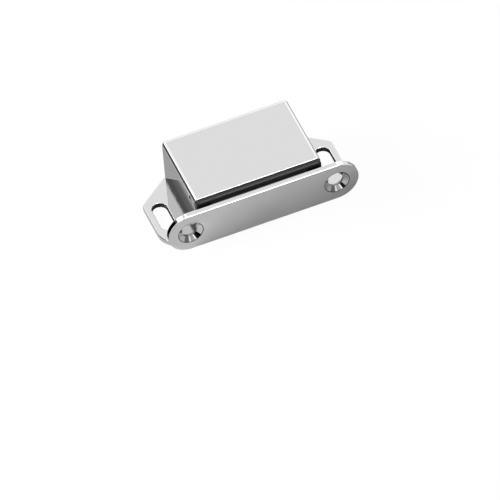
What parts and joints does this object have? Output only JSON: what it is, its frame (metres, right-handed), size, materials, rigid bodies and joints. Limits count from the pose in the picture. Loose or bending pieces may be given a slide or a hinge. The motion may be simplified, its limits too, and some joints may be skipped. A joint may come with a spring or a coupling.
{
  "type": "magnetic door catch",
  "caption": "Magnetic door catch: folded steel cover over a magnet in a black holder on a slotted base plate, with a flat round-ended strike plate.",
  "frame": {"origin": "centre of the cover's footprint, on the underside of the base plate", "axes": "+X along the catch from slot to slot, -Y out of the open front towards the door, +Z away from the cabinet panel that the catch is screwed to"},
  "size_m": [0.065, 0.0326, 0.019],
  "materials": {
    "stainless_steel": "satin",
    "plated_steel": "satin",
    "black_plastic": "matte",
    "ferrite": "matte"
  },
  "bodies": {
    "catch": {"base_plate": "stainless_steel", "cover": "stainless_steel", "magnet_holder": "black_plastic", "magnet": "ferrite", "upper_pole": "plated_steel", "lower_pole": "plated_steel"},
    "strike": {"strike_plate": "stainless_steel"}
  },
  "joints": [
    {"name": "strike_pull", "type": "slide", "parent": "catch", "child": "strike", "axis": [0, -1, 0], "range_m": [0, 0.03]}
  ]
}
